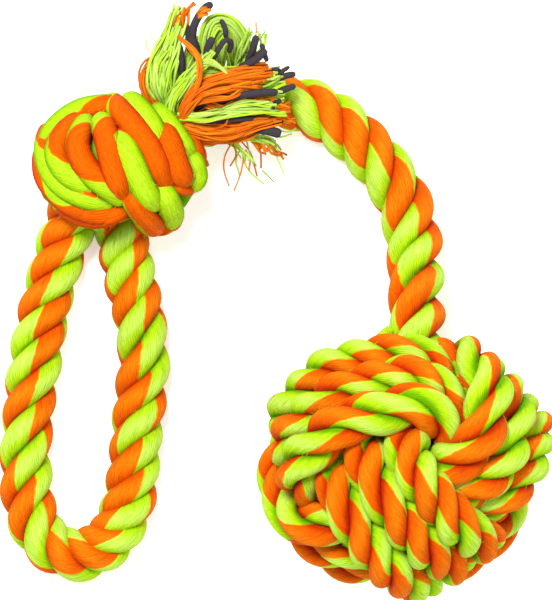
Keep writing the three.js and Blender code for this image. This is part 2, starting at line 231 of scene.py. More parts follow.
# %% Node helper
class Nodes:
    """Short names for adding shader nodes."""

    def __init__(self, name):
        self.material = bpy.data.materials.new(name)
        self.material.use_nodes = True
        self.tree = self.material.node_tree
        self.surface = self.tree.nodes["Principled BSDF"]

    def add(self, kind, **values):
        node = self.tree.nodes.new(kind)
        for key, value in values.items():
            if hasattr(node, key):
                setattr(node, key, value)
            else:
                node.inputs[key.replace("_", " ")].default_value = value
        return node

    def math(self, what, first, second=None, third=None):
        node = self.add("ShaderNodeMath", operation=what)
        for socket, value in zip(node.inputs, (first, second, third)):
            if value is None:
                continue
            if isinstance(value, (int, float)):
                socket.default_value = value
            else:
                self.tree.links.new(value, socket)
        return node.outputs[0]

    def mix(self, share, first, second):
        node = self.add("ShaderNodeMix", data_type="RGBA")
        for socket, value in ((node.inputs[0], share), (node.inputs[6], first), (node.inputs[7], second)):
            if isinstance(value, (int, float)):
                socket.default_value = value
            elif isinstance(value, tuple):
                socket.default_value = (*value, 1)
            else:
                self.tree.links.new(value, socket)
        return node.outputs[2]

    def soft_range(self, value, low, high, low_out, high_out):
        """A value that goes softly from one number to another between low and high."""
        node = self.add("ShaderNodeMapRange", interpolation_type="SMOOTHSTEP")
        self.link(value, node.inputs[0])
        sockets = ("From Min", "From Max", "To Min", "To Max")
        for socket, number in zip(sockets, (low, high, low_out, high_out)):
            node.inputs[socket].default_value = number
        return node.outputs[0]

    def clamp(self, value):
        node = self.add("ShaderNodeClamp")
        self.link(value, node.inputs[0])
        return node.outputs[0]

    def finish(self, colour, roughness, specular, height=None, relief=0.0, depth=0.0):
        """Links the colour, and a relief where there is one, to the surface."""
        self.link(colour, self.surface.inputs["Base Color"])
        self.surface.inputs["Roughness"].default_value = roughness
        self.surface.inputs["Specular IOR Level"].default_value = specular
        if height is not None:
            bump = self.add("ShaderNodeBump", Strength=relief, Distance=depth)
            self.link(height, bump.inputs["Height"])
            self.link(bump.outputs[0], self.surface.inputs["Normal"])
        return self.material

    def link(self, source, target):
        self.tree.links.new(source, target)


print("node helper ready")

# %% [markdown]
# ## The yarn of the rope
#
# Every strand is half orange and half lime. The turn in the UV map says which half a point is in, and a
# little noise frays the border. Fine lines along the yarns give the grain, in colour and in relief, with
# painted shade in the grooves between them. Thin tubes for the yarns would show it too, but they would take
# over two million triangles. The lie map adds a painted highlight on the crests and painted shade in the
# creases.

# %% Yarn material
YARNS = 28  # round one strand


def yarn_material(name, first, second):
    """Two colours of cotton, one on each half of the strand, with the yarns' grain, a painted highlight on
    the crests and painted shade in the creases.
    """
    n = Nodes(name)
    uv = n.add("ShaderNodeUVMap", uv_map="yarn")
    split = n.add("ShaderNodeSeparateXYZ")
    n.link(uv.outputs[0], split.inputs[0])
    turn, along = split.outputs[0], split.outputs[1]
    place = n.add("ShaderNodeTexCoord").outputs["Object"]
    wander = n.add("ShaderNodeTexNoise", Scale=260.0, Detail=2.0)
    n.link(place, wander.inputs["Vector"])
    strayed = n.math("MULTIPLY_ADD", wander.outputs[0], 0.045, turn)
    yarn = n.math("MULTIPLY", strayed, float(YARNS))
    fibre_place = n.add("ShaderNodeCombineXYZ")
    n.link(n.math("MULTIPLY", turn, 150.0), fibre_place.inputs[0])
    n.link(n.math("MULTIPLY", along, 0.5), fibre_place.inputs[1])
    fibre = n.add("ShaderNodeTexNoise", Scale=1.0, Detail=4.0, Roughness=0.65)
    n.link(fibre_place.outputs[0], fibre.inputs["Vector"])
    border = n.math("MULTIPLY_ADD", fibre.outputs[0], 0.05, n.math("SUBTRACT", strayed, 0.025))
    side = n.math("COSINE", n.math("MULTIPLY", border, 2 * math.pi))
    lime_share = n.clamp(n.math("MULTIPLY_ADD", side, -5.5, 0.5))
    number = n.add("ShaderNodeTexWhiteNoise", noise_dimensions="1D")
    n.link(n.math("FLOOR", yarn), number.inputs["W"])
    groove = n.math("ABSOLUTE", n.math("SINE", n.math("MULTIPLY", yarn, math.pi)))
    ridge = n.math("POWER", groove, 0.6)
    streak = n.soft_range(fibre.outputs[0], 0.34, 0.62, 0.62, 1.0)
    tone = n.math("MULTIPLY_ADD", number.outputs[0], 0.2, streak)
    # painted shade: the grooves between the yarns are darker than their ridges
    tone = n.math("MULTIPLY_ADD", ridge, 0.16, tone)
    lie = n.add("ShaderNodeSeparateXYZ")
    n.link(n.add("ShaderNodeUVMap", uv_map="lie").outputs[0], lie.inputs[0])
    # painted crease shade: depth goes from 0 where a strand turns in to its rope to 1 where it faces out
    depth = n.soft_range(lie.outputs[0], -0.15, 0.6, 0.0, 1.0)
    # painted highlight: crest is high where a strand faces out, broken up by the fibre noise
    crest = n.soft_range(n.math("MULTIPLY_ADD", fibre.outputs[0], 0.9, lie.outputs[0]), 1.0, 1.9, 0.0, 0.85)
    lit_part = n.mix(lime_share, LIT_ORANGE, LIT_LIME)
    open_part = n.mix(crest, n.mix(lime_share, first, second), lit_part)
    shaded_part = n.mix(lime_share, SHADED_ORANGE, SHADED_LIME)
    base = n.mix(depth, shaded_part, open_part)
    shade = n.add("ShaderNodeVectorMath", operation="SCALE")
    n.link(base, shade.inputs[0])
    n.link(tone, shade.inputs[3])
    height = n.math("MULTIPLY_ADD", ridge, 0.6, n.math("MULTIPLY", fibre.outputs[0], 0.9))
    return n.finish(shade.outputs[0], 0.8, 0.04, height, 0.5, 0.0009)


two_colour = yarn_material("two colour yarn", ORANGE, LIME)
print(two_colour.name, len(two_colour.node_tree.nodes), "nodes")

# %% [markdown]
# ## Hidden cotton and hairs
#
# Between the ropes one sees down to more cotton, too deep to tell its yarns, so it gets soft patches of the
# two painted shade tones. The stray hairs are lit from all sides, so each colour of hair is one bright tone
# that changes a little from place to place.

# %% Hidden cotton and hair
def shaded_hidden_material(name):
    """Patches of the two painted shade tones."""
    inner = Nodes(name)
    swirl = inner.add("ShaderNodeTexNoise", Scale=70.0, Detail=3.0)
    inner.link(inner.add("ShaderNodeTexCoord").outputs["Object"], swirl.inputs["Vector"])
    share = inner.clamp(inner.math("MULTIPLY_ADD", swirl.outputs[0], 8.0, -3.6))
    # painted shade: the two shade tones in soft patches
    inner.link(inner.mix(share, SHADED_ORANGE, SHADED_LIME), inner.surface.inputs["Base Color"])
    inner.surface.inputs["Roughness"].default_value = 0.9
    return inner.material


def plain_hair(name, colour):
    """One soft colour that changes a little from place to place."""
    hair = Nodes(name)
    patches = hair.add("ShaderNodeTexNoise", Scale=900.0, Detail=1.0)
    hair.link(hair.add("ShaderNodeTexCoord").outputs["Object"], patches.inputs["Vector"])
    share = hair.math("MULTIPLY_ADD", patches.outputs[0], 1.2, -0.1)
    darker = tuple(0.6 * part for part in colour)
    return hair.finish(hair.mix(share, darker, colour), 0.9, 0.1)


shaded_hidden_cotton = shaded_hidden_material("shaded hidden cotton")
print(shaded_hidden_cotton.name, "ready")

# %% [markdown]
# ## Fuzz
#
# Cotton yarn is hairy. Each strand gives a few roots for short hairs as it is made, with the colour of
# the yarn there, and the hairs are all built in one go near the end. A particle system would grow them too,
# but its hairs aren't a mesh, which the exported model needs. Three-sided spikes are light enough.

# %% Places for hairs
THIRD_TURN = 2.0944
fuzz = {"orange": [], "lime": []}


def grow(rings, turn, lie, heading, per_ring):
    """Chooses roots on a strand where it faces out of its rope."""
    steps, sides = rings.shape[:2]
    count = int(steps * per_ring)
    i = random.integers(2, steps - 2, count)
    j = random.integers(0, sides, count)
    kept = lie[j] > 0.15
    i, j = i[kept], j[kept]
    normal = unit(rings[i, j] - rings[i].mean(1))
    lean = heading[i] * random.uniform(-1.1, 1.1, len(i))[:, None] + random.normal(0, 0.35, (len(i), 3))
    direction = unit(normal * random.uniform(0.25, 1, len(i))[:, None] + lean)
    length = random.uniform(0.7, 2.3, len(i))[:, None]
    is_orange = np.cos(2 * math.pi * turn[i, j]) > 0
    for name, chosen in (("orange", is_orange), ("lime", ~is_orange)):
        fuzz[name].append(np.stack([rings[i, j], direction * length, normal], 1)[chosen])


def hair_piece(name, hairs, material, thick=0.05):
    """Three-sided hairs, bent back a little at the tip, as one piece."""
    root, reach, normal = hairs[:, 0], hairs[:, 1], hairs[:, 2]
    side = unit(np.cross(reach, random.normal(0, 1, reach.shape)))
    other = unit(np.cross(reach, side))
    sag = np.linalg.norm(reach, axis=1, keepdims=True) * 0.3 * side
    places = []
    rings = ((root - 0.2 * normal, 1.0), (root + 0.55 * reach + sag, 0.8), (root + reach, 0.25))
    for centre, width in rings:
        for corner in range(3):
            angle = THIRD_TURN * corner
            places.append(centre + thick * width * (math.cos(angle) * side + math.sin(angle) * other))
    points = np.stack(places, 1)
    points[..., 2] = np.maximum(points[..., 2], 0)
    faces = []
    for base in range(0, 9 * len(hairs), 9):
        for ring in (0, 3):
            for k in range(3):
                after = (k + 1) % 3
                here = base + ring
                faces.append((here + k, here + after, here + 3 + after, here + 3 + k))
        faces.append((base + 2, base + 1, base))
        faces.append((base + 6, base + 7, base + 8))
    mesh = bpy.data.meshes.new(name)
    mesh.from_pydata((points.reshape(-1, 3) * MM).tolist(), [], faces)
    mesh.materials.append(material)
    piece = bpy.data.objects.new(name, mesh)
    bpy.context.scene.collection.objects.link(piece)
    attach(piece, "root")
    return piece


print("hairs in", " and ".join(fuzz))

# %% [markdown]
# ## A laid rope
#
# Three strands run round the rope's line in a right-hand helix. The crests that face out of the toy are
# its bumps. One round tube with a bumpy relief would be lighter, but its outline would be smooth, and the
# eye sees a rope by its scalloped edge. Each bump can be pinned to a place along the line and told how its
# two colours lie, so a rope in the picture can be followed bump by bump. What isn't pinned goes on evenly.
#
# A facing of 0 shows orange in the middle of a bump, 180 lime, 90 orange first and lime later, and -90
# lime first and orange later, counted along the rope.

# %% Rope maker
def bump_track(line, keys):
    """Bump count at each point of a line, and the facing of each bump."""
    along = np.r_[0, np.cumsum(np.linalg.norm(np.diff(line, axis=0), axis=1))]
    places, counts, facings = [], [], {}
    bump = 0
    for place, facing in sorted(keys):
        if places:
            bump += max(1, round((place - places[-1]) / BUMP_STEP))
        places.append(place)
        counts.append(bump)
        facings[bump] = facing
    if not places:
        places, counts = [0.0], [0]
    places = [places[0] - 100 * BUMP_STEP] + places + [places[-1] + 100 * BUMP_STEP]
    counts = [counts[0] - 100] + counts + [counts[-1] + 100]
    count = blur(np.interp(along, places, counts), 5)
    return along, count, facings


def colour_drift(count, strand, facings, shift):
    """Degrees that one strand is rolled by at each point, so that its bumps face as they are told."""
    first = math.floor(count[0]) - 3
    bumps = [bump for bump in range(first, math.ceil(count[-1]) + 4) if (bump - strand) % 3 == 0]
    wanted, last = [], None
    for bump in bumps:
        natural = math.degrees(LAY_RATIO * 2 * math.pi * (bump - strand) / 3)
        facing = facings.get(bump)
        if facing is not None:
            value = facing - natural
        else:
            value = (-natural if last is None else last) + 20 * math.sin(bump * 1.7 + shift)
        if last is not None:
            value = last + (value - last + 180) % 360 - 180
        wanted.append(value)
        last = value
    return blur(np.interp(count, bumps, wanted), 9)


def rope(name, line, outward, diameter, keys=(), shift=0):
    """Three strands along a line. outward gives the direction at each point that the bumps face."""
    along, count, facings = bump_track(line, keys)
    tangent = unit(np.gradient(line, axis=0))
    normal = unit(outward - (outward * tangent).sum(1, keepdims=True) * tangent)
    across = np.cross(tangent, normal)
    size = np.broadcast_to(np.asarray(diameter, float), along.shape)[:, None]
    angles = np.linspace(-math.pi, math.pi, SIDES, endpoint=False)
    pieces = []
    for strand in range(3):
        lay = 2 * math.pi * (count - strand) / 3
        radial = np.cos(lay)[:, None] * normal + np.sin(lay)[:, None] * across
        centre = line + HELIX_SHARE * size * radial
        heading = unit(np.gradient(centre, axis=0))
        out = unit(radial - (radial * heading).sum(1, keepdims=True) * heading)
        side = np.cross(heading, out)
        swell = 1 + 0.035 * np.sin(along / 5.1 + 2 * strand + shift) + 0.02 * np.sin(along / 2.3 + strand)
        rings = centre[:, None] + (STRAND_SHARE * size * swell[:, None])[:, None] * (
            np.cos(angles)[None, :, None] * out[:, None] + np.sin(angles)[None, :, None] * side[:, None]
        )
        rings = rings + MOVE
        rings[..., 2] = np.maximum(rings[..., 2], 0)
        drift = np.radians(colour_drift(count, strand, facings, shift))
        turn = (angles[None] + LAY_RATIO * lay[:, None] + drift[:, None]) / (2 * math.pi)
        turn = np.concatenate([turn, turn[:, :1] + 1], 1)
        lengths = np.repeat(along[:, None], SIDES + 1, 1)
        grow(rings, turn, np.cos(angles), heading, 1.6)
        strand_name = f"{name}_strand_{strand + 1}"
        pieces.append(tube_piece(strand_name, rings, turn, lengths, np.cos(angles), two_colour))
    print(name, "length", round(along[-1], 1), "bumps", round(count[-1] - count[0], 1))
    return pieces


def pinned(line, bumps, visible=None):
    """Places along a line of bumps that are given as pixels with a facing."""
    along = np.r_[0, np.cumsum(np.linalg.norm(np.diff(line, axis=0), axis=1))]
    keys = []
    seen = pixels(line)
    for px, py, facing in bumps:
        away = np.linalg.norm(seen - (px, py), axis=1)
        if visible is not None:
            away = np.where(visible, away, 1e9)
        keys.append((along[int(np.argmin(away))], facing))
    return keys


print("one bump every", BUMP_STEP, "mm")

# %% [markdown]
# ## The ball
#
# A big fist of rope: three bands of three turns, at right angles. Each band runs over one of the others
# and under the third. The route is worked out for one band and turned for the other two, then the turns
# push each other apart as they would when pulled tight. A physics simulation could settle them too, but
# this short loop is quick and easy to follow.

# %% Ball routes
OVER = BALL / 2 - TIGHT_ROPE / 2
UNDER = OVER - TIGHT_ROPE - 0.8


STEPS = 72  # points in one turn of a band


def band_route():
    """The line of one band: three turns, each a row further along."""
    points = []
    for step in range(9, 3 * STEPS - 8):
        share = step / STEPS
        within = share % 1
        climb = ease(0, 0.12, within) - 1 if within < 0.5 else ease(0.88, 1, within)
        row = (math.floor(share) + climb / 2 - 1) * TURN_PITCH
        angle = 2 * math.pi * share - math.pi / 2
        from_over = math.degrees(math.asin(abs(math.sin(angle))))
        sphere = OVER + (UNDER - OVER) * ease(34, 60, from_over)
        ring = math.sqrt(sphere**2 - row**2)
        points.append((ring * math.cos(angle), ring * math.sin(angle), row))
    return even(points, 4.0)


def settle(bands, need, rounds=200):
    """Pushes the points of all bands apart until they are as far from each other as the rope is thick."""
    points = np.vstack(bands)
    owner = np.concatenate([np.full(len(b), i) for i, b in enumerate(bands)])
    order = np.arange(len(points))
    skip = (owner[:, None] == owner[None]) & (np.abs(order[:, None] - order[None]) < 7)
    inside = np.zeros(len(points), bool)
    inside[1:-1] = (owner[1:-1] == owner[:-2]) & (owner[1:-1] == owner[2:])
    for _ in range(rounds):
        apart = points[:, None] - points[None]
        distance = np.linalg.norm(apart, axis=2) + 1e-6
        short = np.clip(need - distance, 0, None)
        short[skip] = 0
        points = points + 0.3 * (apart / distance[..., None] * short[..., None]).sum(1)
        middles = (np.roll(points, 1, 0) + np.roll(points, -1, 0)) / 2
        points[inside] += 0.12 * (middles - points)[inside]
        length = np.linalg.norm(points, axis=1, keepdims=True)
        points = points / length * np.clip(length, UNDER - 3, OVER)
    return [points[owner == i] for i in range(len(bands))]


def spin(axis, degrees):
    """The turn about an axis, as a matrix."""
    axis = unit(np.array(axis, float))
    angle = math.radians(degrees)
    cross = np.array([[0, -axis[2], axis[1]], [axis[2], 0, -axis[0]], [-axis[1], axis[0], 0]])
    return np.eye(3) + math.sin(angle) * cross + (1 - math.cos(angle)) * cross @ cross


CORNER_TURN, CORNER_LEAN, LEAN_TOWARDS = 42, 18, 42
corner_up = spin((1, -1, 0), math.degrees(math.acos(1 / math.sqrt(3))))
towards = math.radians(LEAN_TOWARDS)
lean = spin((-math.sin(towards), math.cos(towards), 0), CORNER_LEAN)
attitude = lean @ spin((0, 0, 1), CORNER_TURN) @ corner_up
route = band_route()
bands = settle([route[:, [1, 0, 2]], route[:, [0, 2, 1]], route[:, [2, 1, 0]]], TIGHT_ROPE + 0.2)
ball_lines = [smooth_line((band @ attitude.T) * WIDEN, 1.0) for band in bands]
# How far the soft ball reaches, every 30 degrees from the right through the bottom, as shares
reach_shares = [1.0, 0.9, 0.96, 1.01, 1.03, 1.02, 1.05, 1.05, 1.03, 1.04, 1.01, 1.02, 1.0]
for line in ball_lines:
    direction = np.degrees(np.arctan2(-line[:, 1], line[:, 0])) % 360
    line[:, :2] *= np.interp(direction, np.arange(0, 361, 30), reach_shares)[:, None]
lowest = min(line[:, 2].min() for line in ball_lines)
ball_centre = np.array([1.5, 1.2, -lowest + BALL_ROPE / 2 - 0.9])
ball_lines = [line + ball_centre for line in ball_lines]
print("ball centre", ball_centre.round(2), "bands", [len(line) for line in ball_lines])

# %% [markdown]
# ## The rope on the ball
#
# Each band's line becomes a laid rope. The lists give some of the bumps that the picture shows, one list
# for each band: a pixel and a facing. Only points on the upper side and near the surface are looked
# through for the nearest one, so that a bump isn't pinned to a turn below it.

# %% Ball ropes
ball_bumps = [
    # pixel across, pixel down, facing
    [
        (303, 380, 150), (330, 366, 180), (358, 354, 180), (392, 347, 0), (426, 356, 180),
        (293, 426, 0), (318, 408, 160), (352, 388, 0), (385, 378, 20), (418, 378, 0), (445, 388, 180),
        (300, 473, 0), (322, 453, 180), (350, 429, 40), (389, 410, 180), (434, 418, 135),
    ],
    [
        (467, 348, 40), (480, 374, 0), (486, 412, -150), (467, 446, 0),
        (510, 385, 180), (514, 427, 110), (502, 463, 160), (482, 482, 0),
        (534, 408, 0), (531, 440, 160), (522, 470, 180), (504, 490, 0),
        (313, 522, 0), (287, 503, 180),
    ],
    [
        (406, 462, 0), (425, 482, 60), (446, 507, -50), (463, 528, -150), (478, 540, 0),
        (376, 482, -60), (398, 515, -20), (413, 540, -50), (432, 557, 0),
        (346, 508, -100), (364, 538, -50), (383, 563, 0), (400, 574, 0),
    ],
]
for number, (line, bumps) in enumerate(zip(ball_lines, ball_bumps), 1):
    above = (line[:, 2] > ball_centre[2]) & (np.linalg.norm(line - ball_centre, axis=1) > OVER - 9)
    keys = pinned(line, bumps, above)
    strands = rope(f"ball_band_{number}", line, line - ball_centre, BALL_ROPE, keys, shift=number)
    for strand in strands:
        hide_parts(f"ball_strand_{number}")

# %% [markdown]
# ## What fills the ball
#
# What is inside the real ball can't be seen, and is taken for more rope. Only a dark glimpse of it shows
# between the turns, so a lump of cotton in the two painted shade tones stands in for it. The knot gets a
# lump like it.

# %% Fillings
def filling(name, centre, reaches, node):
    """A soft lump of cotton in painted shade that shows only down between the ropes."""
    shape = bmesh.new()
    bmesh.ops.create_icosphere(shape, subdivisions=5, radius=MM)
    bmesh.ops.scale(shape, verts=shape.verts, vec=reaches)
    bmesh.ops.translate(shape, verts=shape.verts, vec=((centre + MOVE) * MM).tolist())
    mesh = bpy.data.meshes.new(name)
    shape.to_mesh(mesh)
    shape.free()
    mesh.shade_smooth()
    mesh.materials.append(shaded_hidden_cotton)
    piece = bpy.data.objects.new(name, mesh)
    bpy.context.scene.collection.objects.link(piece)
    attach(piece, "root")
    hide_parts(node)
    print(name, "reaches", [round(float(reach), 1) for reach in reaches], "mm")


core_reach = UNDER - TIGHT_ROPE / 2 + 2
filling("ball_core_rope", ball_centre, (core_reach, core_reach, core_reach), "ball_core")

# %% [markdown]
# ## The free rope
#
# The arc leaves the top of the ball, comes down to the floor and climbs to the knot. The hand loop comes
# out of the knot and lies on the floor. The rope is stiff, so its line is eased over 15 mm, three times,
# after it is drawn. A simulated cord could fall into another shape than the one in the picture.

# %% Lines of the free rope
LIE = ROPE * 0.4  # the height of the rope's middle where it lies on the floor
arc_route = [
    (5, 38, 46), (5, 48, 38), (4.9, 66, 22), (4.6, 74, 14), (3.6, 86, 8.4), (-0.7, 98.1, LIE),
    (-8.6, 108.8, LIE), (-18.6, 119.2, LIE), (-27.6, 126, LIE), (-38.3, 130.3, LIE), (-50.1, 130.6, 8),
    (-60.5, 127, 12.5), (-70, 121.6, 18.5),
]
loop_route = [
    (-102, 93, 10), (-100.3, 82, 8), (-98.8, 73.5, LIE), (-97, 65, LIE), (-94.2, 55, LIE),
    (-92, 38, LIE), (-94.5, 18.3, LIE), (-95.8, 0, LIE), (-98.3, -17, LIE), (-105.4, -29.4, LIE),
    (-117, -34, LIE), (-128.4, -28, LIE),
    (-133.8, -15.8, LIE), (-134.8, -2, LIE), (-133.8, 18.3, LIE), (-130.8, 40.1, LIE), (-128.4, 54, LIE),
    (-124.8, 68, LIE), (-120.5, 82, 8), (-116, 94, 11),
]
sky = np.array([0, 0, 1.0])


def relaxed(route, width=7, rounds=3):
    """A smooth line whose tightest bends are eased, as a stiff rope eases them. Its ends stay."""
    line = smooth_line(route)
    window = np.ones(2 * width + 1) / (2 * width + 1)
    for _ in range(rounds):
        lead = 2 * line[0] - line[width:0:-1]
        tail = 2 * line[-1] - line[-2 : -width - 2 : -1]
        padded = np.vstack([lead, line, tail])
        line = np.column_stack([np.convolve(padded[:, k], window, "valid") for k in range(3)])
    return even(line, 1.0)


arc_line = relaxed(arc_route)
loop_line = relaxed(loop_route)
print("arc", len(arc_line) - 1, "mm, loop", len(loop_line) - 1, "mm")

# %% [markdown]
# ## Arc and hand loop
#
# The bumps of both are pinned to the picture, a pixel and a facing each, and face the sky.

# %% Arc and hand loop
arc_bumps = [
    (416, 341, 200), (420, 305, 0), (420, 267, 180), (410, 232, 210), (402, 195, 0), (381, 161, -90),
    (352, 143, 0), (325, 125, -40), (302, 112, 180),
]
loop_bumps = [
    (112, 243, 180), (122, 262, 120), (131, 292, -90), (141, 315, 95), (143, 360, -100), (142, 395, -60),
    (138, 427, 180), (134, 460, -70), (127, 488, -60), (127, 521, 180), (110, 540, -90), (86, 550, 0),
    (57, 553, 30), (33, 533, 180), (30, 500, 40), (30, 465, 130), (30, 425, -120), (32, 391, 60),
    (38, 354, -90), (43, 318, -90), (50, 290, 90), (60, 253, 50),
    (68, 222, 40),
]
arc_sky = np.tile(sky, (len(arc_line), 1))
loop_sky = np.tile(sky, (len(loop_line), 1))
arc_strands = rope("arc_rope", arc_line, arc_sky, ARC_ROPE, pinned(arc_line, arc_bumps))
loop_strands = rope("hand_loop", loop_line, loop_sky, ROPE, pinned(loop_line, loop_bumps))
for strand in arc_strands:
    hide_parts("arc_rope")
for strand in loop_strands:
    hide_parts("hand_loop")

# %% [markdown]
# ## The knot
#
# How the rope runs inside the knot can't be seen. Here one length runs through it and another turns about
# it, thinner than the free rope because they are pulled tight. They fill the knot behind the strands that
# show, which come next.

# %% Knot
KNOT_CENTRE = (-101.5, 107.4)
KNOT_AXIS = 25  # degrees from the picture's right to the knot's long way
KNOT_HEIGHT = 20.0
KNOT_TURN, KNOT_TURN_ACROSS = 11.0, 12.0  # how far the turns reach up and across


def in_knot(along, across, high):
    """A point of the knot, measured along its axis, across it and up."""
    axis = math.radians(KNOT_AXIS)
    return (
        KNOT_CENTRE[0] + along * math.cos(axis) - across * math.sin(axis),
        KNOT_CENTRE[1] + along * math.sin(axis) + across * math.cos(axis),
        KNOT_HEIGHT + high,
    )


through = [(-60.5, 127, 12.5), (-70, 121.6, 18.5)]
through += [in_knot(*p) for p in ((22, 0, 0), (8, 0, 0), (-3, -1, 0), (-10, -7, 0), (-11, -16, -6))]
turns = []
for step in range(10, 42):
    share = step / 20
    angle = math.pi - 2 * math.pi * share
    place = -28.5 + 16.4 * (share + ease(0, 1, share))
    turns.append(in_knot(place, KNOT_TURN_ACROSS * math.cos(angle), KNOT_TURN * math.sin(angle)))
knot_middle = np.array(in_knot(0, 0, 0))
for name, route in (("knot_through", through), ("knot_turns", turns)):
    line = smooth_line(route)
    strands = rope(name, line, line - knot_middle + 8 * sky, KNOT_ROPE, shift=3)
    for strand in strands:
        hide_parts("knot_turns")

# %% [markdown]
# ## The strands on top of the knot
#
# Pulled tight, the knot's rope shows as fat strands side by side. Worked out from a formula they would lie
# in other places than the real ones, so each one is followed in the picture: a few pixels along its middle,
# its width, and which way its colours face. They lie on a low dome and dive in at their ends.

# %% Places of the knot's strands
DOME_MIDDLE, DOME_REACH = (120, 165), (83, 68)  # pixels
DOME_FOOT, DOME_RISE = 22.0, 26.0


def dome(px, py):
    """The height of the knot's top at a pixel."""
    away = ((px - DOME_MIDDLE[0]) / DOME_REACH[0]) ** 2 + ((py - DOME_MIDDLE[1]) / DOME_REACH[1]) ** 2
    return DOME_FOOT + DOME_RISE * math.sqrt(max(0.0, 1 - away))


knot_strands = [
    # pixels, width in pixels, facings, lift
    ([(90, 117), (81, 131), (78, 146), (83, 162), (95, 177), (112, 191), (125, 202)], 28,
     [180, 150, 10, 0, 0, 10, 60, 110, 150, 175], 0.5),
    ([(100, 116), (105, 132), (108, 148), (112, 165), (117, 181), (124, 199)], 28,
     [180, 190, -75, -40, -10, 0, 0, 10], 1.5),
    ([(130, 107), (112, 106), (97, 107), (82, 110), (68, 117), (57, 127), (49, 141), (45, 157)], 27,
     [0, 0, 30, 90, 95, 90, 50, 0], -1.0),
    ([(86, 116), (72, 126), (61, 140), (57, 155), (64, 170), (80, 181), (100, 188)], 28,
     [0, 0, 10, 70, 130, 170, 180], 0.0),
    ([(48, 126), (45, 142), (46, 158), (52, 174), (63, 187), (80, 196), (98, 201), (116, 203)], 25,
     [0, 0, 60, 150, 120, 95, 95, 120], -0.5),
    ([(43, 146), (43, 162), (47, 178), (56, 192), (68, 203), (84, 210), (104, 213), (126, 210)], 27,
     [0, -70, -120, -165, -110, -30, 0, 0], -1.0),
    ([(58, 204), (76, 215), (94, 219), (112, 215), (130, 206)], 22, [-10, 0, 0, 0, 0], -2.0),
    ([(110, 99), (120, 111), (132, 125), (145, 141), (154, 157), (160, 173), (167, 190)], 28,
     [180, 120, 10, 0, 0, 0, 0, 0], 0.8),
    ([(126, 99), (137, 107), (147, 119), (154, 133), (159, 148)], 27, [170, 180, 180, 180, 150], 0.5),
    ([(116, 131), (124, 146), (131, 162), (138, 178), (146, 193), (156, 207)], 30,
     [10, 150, 180, 180, 180, 170], 1.0),
    ([(126, 184), (132, 197), (139, 209), (147, 219), (156, 228)], 28, [60, 20, 25, 30, 0], -0.5),
    ([(154, 183), (164, 194), (170, 207), (171, 219), (165, 230)], 28, [180, 180, 180, 160, 60], 0.0),
    ([(136, 222), (150, 228), (164, 228), (176, 220)], 17, [0, 0, 0, 60], -3.0),
    ([(154, 106), (163, 116), (173, 129), (183, 143), (191, 157)], 23, [180, 180, 180, 180, 170], 0.5),
    ([(161, 125), (168, 141), (174, 157), (179, 171), (184, 184)], 29, [-80, -20, 0, 0, 20], 1.5),
    ([(178, 119), (186, 132), (193, 146), (200, 161)], 21, [0, 0, 0, 30], -0.5),
    ([(189, 154), (195, 166), (196, 178), (190, 189)], 25, [120, 180, 180, 150], -0.5),
    ([(172, 184), (182, 190), (193, 190)], 12, [0, 0, 0], -2.0),
]
side_strands = [
    # the same, for the strands that show only from the side
    ([(54, 198), (74, 211), (96, 215), (116, 212), (138, 205)], 25, [180, 180, 120, 20, 0], -9.5),
    ([(56, 202), (76, 213), (98, 216), (118, 212), (140, 208)], 25, [0, 0, -30, -120, 180], -18.0),
    ([(132, 113), (112, 111), (97, 112), (82, 115), (70, 121), (59, 131), (51, 144), (48, 160),
     (52, 178)], 25,
     [180, 180, 90, 0, 0, 60, 150, 180, 180], -9.5),
    ([(132, 114), (112, 112), (97, 113), (82, 117), (70, 123), (60, 133), (53, 145), (51, 160),
     (55, 178)], 25,
     [0, 0, 60, 140, 180, 180, 90, 0, 0], -18.0),
    ([(136, 110), (150, 112), (166, 122), (178, 136), (188, 151), (192, 166), (186, 182)], 24,
     [0, 0, 60, 150, 180, 180, 160], -10.5),
    ([(138, 112), (152, 114), (166, 124), (177, 138), (186, 152), (189, 166), (182, 184)], 24,
     [180, 170, 100, 10, 0, 0, 30], -19.0),
]


print("strands on top", len(knot_strands), "at the sides", len(side_strands))

# %% [markdown]
# ## Building the knot's strands
#
# Each one is a tube like the rope's strands, with rounded ends. The underside can't be seen in the picture,
# so every strand on top has a twin that is turned over and drawn in a little. The strands at the sides lie
# over the gap between the two sets.

# %% Knot strands
UNDER_RIM, UNDER_FALL = 15.5, 10.5  # where the underside's strands lie at the rim, and how far they drop
UNDER_SHARE = 0.93  # how wide the underside is, as a share of the top
TRACED_SHARE = 0.9  # a strand's true width, as a share of the one read in the picture
TRACED_STEP = 0.9


